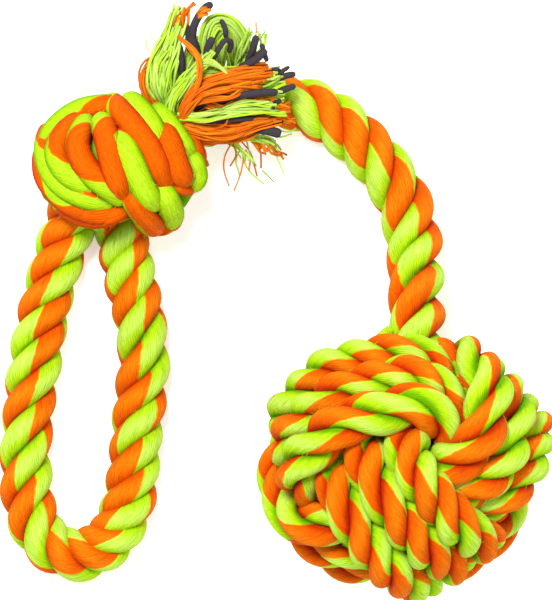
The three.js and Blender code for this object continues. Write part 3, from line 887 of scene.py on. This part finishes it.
def traced(name, points, width, facings, lift, turned_over=False):
    """One strand of the knot, followed in the picture."""
    radius = TRACED_SHARE * width * PIXEL / 2
    chosen = []
    for px, py in points:
        swell = (dome(px, py) - DOME_FOOT) / DOME_RISE
        if turned_over:
            inner_x = DOME_MIDDLE[0] + UNDER_SHARE * (px - DOME_MIDDLE[0])
            inner_y = DOME_MIDDLE[1] - UNDER_SHARE * (py - DOME_MIDDLE[1])
            chosen.append(spot(inner_x, inner_y, UNDER_RIM - UNDER_FALL * swell - lift))
        else:
            chosen.append(spot(px, py, dome(px, py) - radius + lift))
    line = smooth_line(chosen, TRACED_STEP)
    share = np.linspace(0, 1, len(line))
    inward = ease(0.25, 0, share) + ease(0.75, 1, share)
    line[:, 2] += (1.5 if turned_over else -5.5) * inward
    from_end = np.minimum(share, 1 - share) * len(line) * TRACED_STEP / radius
    rounded = np.sqrt(np.maximum(0.1, 1 - np.maximum(0, 1 - from_end) ** 2))
    heading = unit(np.gradient(line, axis=0))
    top = np.array([0, 0, -1.0 if turned_over else 1.0])
    out = unit(top - (heading @ top)[:, None] * heading)
    side = np.cross(heading, out)
    angles = np.linspace(-math.pi, math.pi, SIDES, endpoint=False)
    thick = radius * rounded * (1 - 0.15 * inward) * (1 + 0.03 * np.sin(share * 11 + points[0][0]))
    rings = line[:, None] + thick[:, None, None] * (
        np.cos(angles)[None, :, None] * out[:, None] + np.sin(angles)[None, :, None] * side[:, None]
    )
    rings = rings + MOVE
    rings[..., 2] = np.maximum(rings[..., 2], 0)
    face = np.interp(share, np.linspace(0, 1, len(facings)), facings)
    turn = (angles[None] + np.radians(blur(face, 2))[:, None]) / (2 * math.pi)
    turn = np.concatenate([turn, turn[:, :1] + 1], 1)
    lengths = np.repeat((share * len(line) * TRACED_STEP + 11 * points[0][0])[:, None], SIDES + 1, 1)
    grow(rings, turn, np.cos(angles), heading, 0 if turned_over else 2.2)
    # painted shade: lie is lowered by 0.3, so the crease shade reaches further up the knot strands' sides
    # and the crest highlight less
    piece = tube_piece(name, rings, turn, lengths, np.cos(angles) - 0.3, two_colour)
    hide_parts("knot_turns")
    return piece


for number, (points, width, facings, lift) in enumerate(knot_strands, 1):
    traced(f"knot_top_{number}", points, width, facings, lift)
    traced(f"knot_under_{number}", points, width, facings, lift, True)
for number, (points, width, facings, lift) in enumerate(side_strands, 1):
    traced(f"knot_side_{number}", points, width, facings, lift)
filling("knot_middle_rope", spot(118, 164, DOME_FOOT - 1), (24, 19, 17), "knot_turns")
print("knot strands", 2 * len(knot_strands) + len(side_strands))

# %% [markdown]
# ## Loose yarns
#
# Where the rope ends it is unlaid into loose yarns, and here each one is a thin tube of its own, because
# a solid tuft with a pattern would have no gaps and no ragged edge. The tubes of one bundle are one piece,
# which keeps the number of objects low.

# %% Yarn tubes
def yarn_tubes(name, lines, radii, material, sides=6):
    """Many thin closed tubes as one piece, in the rope's own millimetres."""
    places, faces, uvs = [], [], []
    for number, (line, radius) in enumerate(zip(lines, radii)):
        tangent = unit(np.gradient(line, axis=0))
        start = np.cross(tangent[0], (0.3, 0.2, 0.9))
        normals = [unit(start)]
        for heading in tangent[1:]:
            normals.append(unit(normals[-1] - (normals[-1] @ heading) * heading))
        normal = np.array(normals)
        across = np.cross(tangent, normal)
        angle = np.linspace(0, 2 * math.pi, sides, endpoint=False)
        width = np.broadcast_to(np.asarray(radius, float), len(line))[:, None, None]
        ring = line[:, None] + width * (
            np.cos(angle)[None, :, None] * normal[:, None] + np.sin(angle)[None, :, None] * across[:, None]
        )
        base = sum(len(p) for p in places)
        places.append((ring + MOVE).reshape(-1, 3) * MM)
        along = np.r_[0, np.cumsum(np.linalg.norm(np.diff(line, axis=0), axis=1))] + 37.0 * number
        for i in range(len(line) - 1):
            for j in range(sides):
                k = (j + 1) % sides
                faces.append((base + i * sides + j, base + i * sides + k,
                              base + (i + 1) * sides + k, base + (i + 1) * sides + j))
                u, w = number + j / sides, number + (j + 1) / sides
                uvs += [(u, along[i]), (w, along[i]), (w, along[i + 1]), (u, along[i + 1])]
        for end, order in ((0, range(sides - 1, -1, -1)), (len(line) - 1, range(sides))):
            faces.append([base + end * sides + j for j in order])
            uvs += [(number + j / sides, along[end]) for j in order]
    mesh = bpy.data.meshes.new(name)
    mesh.from_pydata(np.vstack(places).tolist(), [], faces)
    mesh.uv_layers.new(name="yarn").data.foreach_set("uv", np.array(uvs, float).ravel())
    mesh.shade_smooth()
    mesh.materials.append(material)
    piece = bpy.data.objects.new(name, mesh)
    bpy.context.scene.collection.objects.link(piece)
    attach(piece, "root")
    return piece


print("yarn tubes ready")

# %% [markdown]
# ## Bundles of yarn
#
# A bundle is a line with a width: its yarns start close together, swell apart and end raggedly. They are
# spread like the seeds of a sunflower, which fills a round bundle evenly with any number of them.

# %% Bundles
GOLDEN_ANGLE = 2.39996
WAVE = 0.85
YARN_STEP = 1.6


def bundle(points, widths, count, ragged):
    """Lines of the yarns in one bundle. points are pixels with a height; widths are radii in millimetres."""
    line = smooth_line([spot(*p) for p in points], YARN_STEP)
    tangent = unit(np.gradient(line, axis=0))
    side = unit(np.cross(tangent, (0, 0, 1.0)))
    up = np.cross(side, tangent)
    share = np.linspace(0, 1, len(line))
    width = np.interp(share, np.linspace(0, 1, len(widths)), [w[0] for w in widths])
    depth = np.interp(share, np.linspace(0, 1, len(widths)), [w[1] for w in widths])
    lines = []
    for number in range(count):
        reach = math.sqrt((number + 0.5) / count)
        angle = number * GOLDEN_ANGLE
        wobble = WAVE * np.sin(share * random.uniform(3, 9) + random.uniform(0, 6.28)) * ease(0, 0.3, share)
        lift = WAVE * np.sin(share * random.uniform(3, 9) + random.uniform(0, 6.28)) * ease(0, 0.3, share)
        yarn = line + (reach * np.cos(angle) * width + wobble)[:, None] * side
        yarn = yarn + (reach * np.sin(angle) * depth + lift)[:, None] * up
        cut = len(line) - int(random.uniform(0, ragged) / YARN_STEP)
        lines.append(yarn[: max(6, cut)])
    return lines


print("yarns lie", GOLDEN_ANGLE, "radians apart in a bundle")

# %% [markdown]
# ## The colour of loose yarns
#
# Each yarn has a tone of its own, taken from its number in the UV map, so that single yarns can be told
# apart. Along it a fine grain goes on, as the twist of a spun yarn does.

# %% Loose yarn material
def loose_material(name, colour, lit):
    """One colour of cotton, a little different on each yarn."""
    n = Nodes(name)
    uv = n.add("ShaderNodeUVMap", uv_map="yarn")
    split = n.add("ShaderNodeSeparateXYZ")
    n.link(uv.outputs[0], split.inputs[0])
    turn, along = split.outputs[0], split.outputs[1]
    number = n.add("ShaderNodeTexWhiteNoise", noise_dimensions="1D")
    n.link(n.math("FLOOR", turn), number.inputs["W"])
    fibre_place = n.add("ShaderNodeCombineXYZ")
    n.link(n.math("MULTIPLY_ADD", along, 1.4, n.math("MULTIPLY", turn, 7.0)), fibre_place.inputs[0])
    n.link(n.math("MULTIPLY", along, 0.3), fibre_place.inputs[1])
    fibre = n.add("ShaderNodeTexNoise", Scale=1.6, Detail=3.0, Roughness=0.6)
    n.link(fibre_place.outputs[0], fibre.inputs["Vector"])
    grain = n.math("MULTIPLY_ADD", fibre.outputs[0], 0.75, 0.24)
    tone = n.math("MULTIPLY_ADD", number.outputs[0], 0.6, grain)
    shade = n.add("ShaderNodeVectorMath", operation="SCALE")
    paler = n.add("ShaderNodeTexWhiteNoise", noise_dimensions="1D")
    n.link(n.math("ADD", n.math("FLOOR", turn), 0.5), paler.inputs["W"])
    n.link(n.mix(n.math("MULTIPLY", paler.outputs[0], 0.8), colour, lit), shade.inputs[0])
    n.link(tone, shade.inputs[3])
    return n.finish(shade.outputs[0], 0.85, 0.15, fibre.outputs[0], 0.3, 0.0002)


orange_yarn = loose_material("orange yarn", ORANGE, LIT_ORANGE)
lime_yarn = loose_material("lime yarn", LIME, LIT_LIME)
dark_yarn = loose_material("charcoal cord", DARK, (0.045, 0.036, 0.045))
print(orange_yarn.name, "and", lime_yarn.name, "and", dark_yarn.name)

# %% [markdown]
# ## Where the lime yarns lie
#
# The bundles are followed in the picture: pixels with a height, then the half width and half depth along
# the bundle, how many yarns it has, and how raggedly it ends. The heights are judged from what lies over
# what.

# %% Lime bundles
lime_bundles = [
    # points, (width, depth) along the bundle, yarns, ragged
    ([(164, 104, 24), (158, 88, 30), (159, 66, 32), (168, 40, 33), (180, 6, 33)],
     [(1.2, 1.5), (3.2, 2.2), (3.4, 2.2), (2.6, 1.6), (2, 1)], 44, 18),
    ([(166, 104, 24), (166, 90, 30), (168, 68, 33), (175, 46, 34), (186, 14, 34)],
     [(1, 1), (2.2, 1.6), (3, 1.8), (2.4, 1.4), (2.2, 1)], 34, 22),
    ([(160, 102, 24), (157, 84, 31), (160, 62, 35), (166, 52, 36)],
     [(1, 1), (1.8, 1.2), (2.2, 1.2), (1.5, 1)], 14, 6),
    ([(172, 122, 24), (171, 104, 32), (178, 88, 35), (190, 77, 35), (212, 70, 34)],
     [(1.4, 1.4), (2.2, 1.6), (2.0, 1.4), (1.8, 1.2), (1.6, 1)], 22, 8),
    ([(172, 112, 26), (180, 96, 33), (190, 78, 36), (202, 63, 38), (212, 50, 40)],
     [(1.4, 1), (1.8, 1), (1.6, 1), (1.6, 1), (1.8, 1)], 16, 5),
    ([(186, 84, 34), (196, 68, 38), (206, 62, 39), (222, 68, 38), (236, 76, 36)],
     [(0.7, 0.6), (0.9, 0.7), (1, 0.7), (0.9, 0.6), (0.6, 0.5)], 7, 8),
    ([(184, 92, 30), (196, 78, 34), (214, 76, 34), (234, 74, 33), (250, 72, 31)],
     [(1, 1), (1.6, 1.2), (2, 1.4), (1.8, 1.2), (1.4, 1)], 18, 8),
    ([(204, 76, 24), (206, 56, 30), (207, 36, 34), (214, 23, 34), (226, 24, 32), (240, 40, 28),
     (243, 62, 24), (240, 74, 20)],
     [(2, 1.5), (3, 2), (2.6, 2), (2.8, 2), (3, 2), (2.6, 2), (2.2, 1.6), (2, 1.4)], 60, 8),
    ([(212, 78, 22), (216, 60, 27), (218, 42, 31), (224, 34, 32), (232, 40, 29), (235, 58, 25),
     (234, 74, 20)],
     [(2, 1.5), (3, 2), (3, 2), (3, 2), (3, 2), (2.6, 1.6), (2, 1.4)], 44, 8),
    ([(236, 74, 24), (242, 56, 29), (246, 40, 33), (250, 26, 36)],
     [(1, 1), (1.4, 1), (1.4, 1), (1.6, 1)], 12, 12),
    ([(248, 70, 26), (258, 56, 31), (262, 42, 34), (262, 30, 36)],
     [(0.6, 0.5), (1, 0.8), (1.2, 0.8), (1.6, 1)], 7, 10),
    ([(178, 114, 33), (204, 116, 36), (240, 111, 36), (286, 112, 32)],
     [(0.8, 0.6), (1.2, 0.7), (1.3, 0.7), (1.2, 0.8)], 7, 6),
    ([(180, 119, 33), (206, 119, 36), (232, 113, 37), (262, 110, 36), (284, 113, 32)],
     [(0.6, 0.5), (0.8, 0.5), (0.9, 0.6), (0.9, 0.6)], 5, 8),
    ([(196, 122, 32), (226, 111, 36), (250, 104, 36), (276, 103, 33)],
     [(0.5, 0.5), (0.9, 0.6), (1.2, 0.6), (1.2, 0.8)], 7, 6),
    ([(240, 84, 28), (258, 80, 31), (272, 76, 31), (282, 72, 30)],
     [(1.5, 2), (2, 2), (2.4, 2), (2.6, 2)], 26, 8),
    ([(244, 92, 26), (262, 90, 29), (274, 88, 29), (285, 86, 28)],
     [(1.5, 2), (2.4, 2), (2.8, 2), (3, 2)], 32, 8),
    ([(244, 104, 25), (262, 101, 28), (274, 98, 28), (284, 98, 27)],
     [(1.5, 2), (2, 2), (2.6, 2), (2.6, 2)], 26, 8),
    ([(214, 130, 20), (232, 138, 20), (242, 148, 19), (250, 164, 16)],
     [(1, 1), (1.6, 1), (1.6, 1), (2, 1)], 9, 12),
    ([(232, 132, 22), (252, 136, 22), (264, 140, 21), (276, 152, 18)],
     [(1, 1), (1.6, 1), (1.8, 1), (2, 1)], 12, 10),
    ([(186, 126, 28), (192, 138, 26), (198, 143, 22)], [(0.8, 0.6), (1.2, 0.8), (1, 0.7)], 7, 3),
    ([(176, 100, 26), (181, 80, 28), (188, 62, 29), (194, 48, 29), (198, 38, 28)],
     [(1.2, 1), (2.2, 1.4), (2.6, 1.6), (2.4, 1.4), (2, 1)], 34, 10),
    ([(192, 84, 26), (198, 68, 28), (204, 52, 28), (208, 36, 28)],
     [(1, 1), (1.8, 1.2), (2.2, 1.2), (1.8, 1)], 22, 8),
]
print(sum(row[2] for row in lime_bundles), "lime yarns")

# %% [markdown]
# ## Where the orange yarns lie
#
# The orange bundles are told in the same way. The widest of them cross the tassel from the knot to its
# right-hand end.

# %% Orange bundles
orange_bundles = [
    ([(165, 110, 20), (154, 98, 25), (148, 82, 27), (150, 68, 26), (160, 56, 24)],
     [(2, 1.5), (3.2, 2.4), (3.4, 2.6), (2.6, 2), (1.4, 1.4)], 46, 3),
    ([(172, 70, 27), (175, 38, 31), (180, 20, 34), (185, 10, 34)],
     [(0.8, 0.6), (0.9, 0.7), (0.9, 0.6), (0.8, 0.6)], 6, 6),
    ([(180, 40, 30), (185, 22, 35), (188, 8, 36), (194, 2, 36)],
     [(0.5, 0.5), (0.7, 0.6), (0.9, 0.6), (0.8, 0.5)], 6, 5),
    ([(181, 126, 30), (186, 106, 35), (200, 88, 37), (224, 80, 37), (250, 75, 35), (270, 72, 32)],
     [(1.4, 1.2), (1.8, 1.4), (2.2, 1.5), (2.4, 1.6), (2.6, 1.8), (3, 2)], 52, 5),
    ([(182, 122, 32), (190, 104, 37), (206, 92, 39), (236, 86, 38), (262, 84, 34)],
     [(1, 1), (1.4, 1), (1.6, 1.2), (2, 1.2), (2.2, 1.4)], 26, 6),
    ([(184, 118, 32), (196, 104, 37), (214, 98, 39), (232, 95, 39), (246, 88, 37)],
     [(0.6, 0.5), (0.7, 0.5), (0.6, 0.5), (0.5, 0.4)], 4, 6),
    ([(196, 112, 30), (206, 104, 34), (222, 108, 35), (244, 101, 35), (274, 100, 32)],
     [(0.8, 0.7), (1, 0.7), (0.8, 0.6), (0.7, 0.5)], 6, 8),
    ([(178, 36, 38), (188, 45, 40), (197, 58, 41), (200, 76, 41), (196, 92, 39), (187, 108, 36),
     (181, 124, 31)],
     [(0.5, 0.4), (0.7, 0.5), (0.8, 0.5), (0.8, 0.5), (0.9, 0.6)], 4, 3),
    ([(180, 124, 30), (190, 127, 31), (208, 131, 31), (232, 131, 31), (258, 122, 31), (280, 118, 29)],
     [(1.6, 1.4), (2.8, 2), (3, 2), (2.4, 1.8), (2, 1.4), (1.8, 1.2)], 46, 6),
    ([(188, 130, 26), (206, 138, 26), (226, 138, 26), (248, 134, 26), (262, 124, 26)],
     [(1.4, 1.4), (2, 1.4), (1.4, 1.2), (1.2, 1)], 20, 6),
    ([(268, 120, 27), (280, 119, 27), (296, 121, 26)], [(1, 1), (1.2, 0.8), (1, 0.7)], 8, 6),
    ([(270, 108, 28), (282, 107, 28), (290, 107, 27)], [(1, 1), (1.4, 0.9), (1.4, 0.8)], 9, 4),
    ([(183, 120, 26), (186, 134, 24), (194, 150, 20), (202, 166, 14)],
     [(1.6, 1.4), (2.6, 1.8), (3.2, 2), (2.6, 2)], 34, 3),
    ([(228, 134, 22), (248, 138, 22), (260, 146, 20), (266, 153, 17)],
     [(0.8, 0.6), (1, 0.7), (1.2, 0.7), (0.8, 0.6)], 8, 6),
    ([(254, 136, 21), (268, 142, 20), (276, 152, 17), (284, 158, 15)],
     [(0.7, 0.6), (1, 0.7), (1, 0.7), (0.7, 0.5)], 6, 6),
]
print(sum(row[2] for row in orange_bundles), "orange yarns")

# %% [markdown]
# ## Single yarns
#
# A few yarns stray from the bundles, most of them below the tassel. They are thinner, and each has a line
# of its own in pixels with a height.

# %% Single yarns
lone_orange = [
    [(232, 142, 22), (225, 156, 17), (224, 170, 12), (229, 186, 8)],
    [(233, 143, 22), (236, 154, 18), (234, 160, 14), (230, 166, 12)],
    [(236, 140, 22), (243, 154, 17), (241, 172, 12), (234, 191, 8)],
    [(240, 140, 22), (250, 152, 17), (254, 164, 13), (257, 176, 9)],
    [(252, 138, 22), (260, 150, 17), (261, 160, 13), (261, 168, 10)],
    [(262, 134, 22), (270, 140, 19), (276, 144, 17), (281, 150, 15)],
    [(246, 150, 19), (250, 160, 15), (249, 170, 12)],
    [(248, 66, 30), (253, 48, 34), (256, 34, 37), (256, 22, 39)],
    [(206, 132, 30), (218, 128, 34), (226, 124, 36), (228, 118, 35)],
]
lone_lime = [
    [(232, 140, 22), (236, 150, 18), (241, 158, 14)],
    [(246, 138, 22), (250, 154, 17), (256, 166, 13)],
    [(262, 136, 22), (274, 150, 17), (279, 162, 13), (284, 174, 9)],
    [(242, 150, 18), (246, 166, 13), (254, 176, 10), (264, 184, 7)],
    [(262, 170, 12), (270, 178, 10), (274, 182, 8)],
    [(240, 150, 18), (236, 160, 14), (240, 176, 9)],
    [(164, 62, 32), (154, 56, 30), (147, 48, 28), (146, 40, 27)],
    [(166, 58, 33), (160, 46, 31), (154, 40, 30), (150, 36, 29)],
    [(168, 54, 33), (162, 42, 32), (160, 36, 31)],
    [(264, 130, 24), (276, 130, 23), (290, 132, 22), (296, 128, 21)],
    [(266, 132, 23), (280, 137, 21), (292, 134, 20)],
    [(240, 60, 30), (242, 46, 34), (245, 36, 37), (251, 24, 39)],
    [(260, 46, 34), (262, 36, 37), (266, 30, 38)],
]
print(len(lone_orange) + len(lone_lime), "single yarns")

# %% [markdown]
# ## Building the tassel
#
# Every bundle becomes one piece, and so do the single yarns of each colour. The node for the tuft that has
# both colours is hidden as well.

# %% Tassel
THICK, FINE = 0.46, 0.3  # the radius of a yarn in a bundle and of a single one
loose = []
for colour, bundles, lone, material in (
    ("lime", lime_bundles, lone_lime, lime_yarn),
    ("orange", orange_bundles, lone_orange, orange_yarn),
):
    for number, (points, widths, count, ragged) in enumerate(bundles, 1):
        lines = bundle(points, widths, count, ragged)
        radii = [THICK * random.uniform(0.8, 1.15) for _ in lines]
        loose.append(yarn_tubes(f"tassel_{colour}_{number}", lines, radii, material))
    lines = [smooth_line([spot(*p) for p in points], 1.2) for points in lone]
    loose.append(yarn_tubes(f"tassel_{colour}_lone", lines, [FINE] * len(lines), material))
for piece in loose:
    node = "tuft_1" if "orange" in piece.name else "tuft_2"
    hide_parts(node)
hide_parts("tuft_3")
print("tassel", len(loose), "pieces", sum(len(p.data.polygons) for p in loose), "faces")

# %% [markdown]
# ## The dark cords
#
# Charcoal cords run in the tassel and show as blunt cut ends between the loose yarns. They use the same
# tubes as the yarns, thicker, with more sides and with ends that draw in, as a cut cord's do. One has an
# orange yarn wrapped about it.

# %% Dark cords
dark_cords = [
    # pixels with a height, width in pixels
    ([(182, 80, 30), (182, 62, 33), (180, 45, 34)], 6.0),
    ([(199, 60, 31), (194, 44, 34), (190, 36, 35)], 9.5),
    ([(192, 42, 34), (194, 26, 37), (199, 16, 38), (205, 8, 38), (212, 4, 37)], 8.0),
    ([(190, 52, 33), (188, 38, 34), (190, 26, 35)], 6.0),
    ([(226, 38, 37), (225, 28, 39), (221, 20, 38)], 5.5),
    ([(206, 56, 37), (209, 45, 40), (213, 38, 41)], 8.0),
    ([(214, 58, 37), (219, 48, 40), (226, 40, 40), (231, 43, 38), (229, 52, 35)], 5.5),
    ([(247, 64, 31), (253, 48, 36), (256, 36, 38)], 7.0),
    ([(230, 78, 30), (244, 66, 34), (256, 59, 36), (266, 50, 37)], 8.0),
    ([(262, 44, 36), (264, 52, 36), (267, 61, 34)], 5.0),
    ([(262, 72, 31), (274, 69, 32), (280, 70, 31)], 4.0),
    ([(278, 74, 30), (284, 70, 31), (289, 67, 30)], 4.5),
    ([(276, 80, 29), (285, 76, 30), (295, 74, 29)], 6.5),
    ([(278, 93, 28), (286, 89, 29), (295, 86, 28)], 6.5),
    ([(212, 102, 34), (236, 96, 37), (258, 93, 37), (277, 92, 34)], 7.5),
    ([(206, 97, 35), (222, 96, 36), (240, 93, 35)], 4.5),
    ([(194, 108, 31), (212, 103, 34), (234, 100, 34)], 7.0),
    ([(262, 104, 29), (272, 102, 30), (281, 101, 29)], 5.5),
    ([(230, 111, 33), (250, 108, 35), (275, 108, 33)], 5.5),
    ([(200, 122, 31), (228, 120, 34), (254, 118, 33)], 5.5),
    ([(256, 122, 28), (270, 122, 29), (283, 122, 28)], 5.0),
    ([(252, 128, 27), (266, 130, 29), (281, 134, 29)], 10.0),
    ([(178, 112, 24), (176, 104, 27), (184, 92, 29), (196, 82, 30)], 8.0),
]
CORD_STEP = 0.8
for number, (points, width) in enumerate(dark_cords, 1):
    line = smooth_line([spot(*p) for p in points], CORD_STEP)
    reach = np.minimum(np.arange(len(line)), np.arange(len(line))[::-1]) * CORD_STEP
    radius = width * PIXEL / 2 * np.sqrt(1 - (1 - np.clip(reach / 1.2, 0, 1)) ** 2 * 0.6)
    cord_piece = yarn_tubes(f"dark_cord_{number}", [line], [radius], dark_yarn, sides=14)
wrap_turns = (
    ((198, 16, 38), (204, 11, 42), (210, 10, 38)),
    ((197, 14, 38), (202, 9, 42), (207, 8, 38)),
    ((198, 18, 38), (203, 15, 41), (207, 14, 38)),
)
wrap = [smooth_line([spot(*p) for p in points], CORD_STEP) for points in wrap_turns]
yarn_tubes("dark_cord_wrap", wrap, [0.7] * len(wrap), orange_yarn)

# %% [markdown]
# ## The nodes that the cords replace
#
# The row's model has fewer dark cords than the picture. Its nodes for them are hidden, and the cords here
# take their place.

# %% Cords and nodes
heart_ends = {
    "heart_1_1": (-75.5, 166.5), "heart_1_2": (-70.4, 165.6), "heart_1_3": (-69, 158.6),
    "heart_2_1": (-56.6, 164), "heart_2_2": (-55.6, 158.6), "heart_2_3": (-54.6, 153.2),
    "heart_2_4": (-53.6, 147.6),
    "heart_3_1": (-36.8, 141.1), "heart_3_2": (-35.6, 136.7), "heart_3_3": (-35.3, 131.8),
    "heart_3_4": (-36.4, 127.2), "heart_3_5": (-37.4, 123.2), "heart_3_6": (-39.8, 119.2),
}
for node, place in heart_ends.items():
    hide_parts(node)
print("nodes replaced by cords", len(heart_ends))

# %% [markdown]
# ## The hairs
#
# All roots are known now, so the hairs of each colour are built as one piece.

# %% Hairs
hair_colours = {
    "orange": plain_hair("orange hair", (0.9, 0.2, 0.01)),
    "lime": plain_hair("lime hair", (0.5, 0.85, 0.06)),
}
for colour, groups in fuzz.items():
    hairs = np.concatenate(groups)
    piece = hair_piece(f"fuzz_{colour}", hairs, hair_colours[colour])
    print(piece.name, len(hairs), "hairs")

# %% [markdown]
# ## Light and floor
#
# The picture has a plain white ground and soft, even light. A wide lamp from the upper left gives the
# form, a wider and weaker one fills the other side, and the white world does the rest. The floor glows a
# little, so that it comes out as white as the picture's.

# %% Stage
floor_shape = bmesh.new()
bmesh.ops.create_grid(floor_shape, x_segments=1, y_segments=1, size=3.0)
floor_mesh = bpy.data.meshes.new("floor")
floor_shape.to_mesh(floor_mesh)
floor_shape.free()
floor = bpy.data.objects.new("floor", floor_mesh)
bpy.context.scene.collection.objects.link(floor)
pale = Nodes("pale floor")
pale.surface.inputs["Base Color"].default_value = (0.9, 0.9, 0.9, 1)
pale.surface.inputs["Roughness"].default_value = 0.9
pale.surface.inputs["Emission Color"].default_value = (1, 1, 1, 1)
pale.surface.inputs["Emission Strength"].default_value = 0.42
floor_mesh.materials.append(pale.material)


def lamp(name, place, size, power):
    """A round soft lamp that shines at the toy."""
    data = bpy.data.lights.new(name, "AREA")
    data.shape = "DISK"
    data.size = size
    data.energy = power
    light = bpy.data.objects.new(name, data)
    light.location = place
    direction = np.array(place) / np.linalg.norm(place)
    light.rotation_euler = (math.acos(direction[2]), 0, math.atan2(direction[1], direction[0]) + math.pi / 2)
    bpy.context.scene.collection.objects.link(light)


lamp("key", (-0.5, 0.85, 2.1), 0.8, 76)
lamp("fill", (1.0, -0.8, 1.5), 1.6, 17)
world = bpy.data.worlds.new("world")
world.use_nodes = True
world.node_tree.nodes["Background"].inputs[0].default_value = (1, 1, 1, 1)
world.node_tree.nodes["Background"].inputs[1].default_value = 0.5
bpy.context.scene.world = world
bpy.context.scene.view_settings.view_transform = "Standard"
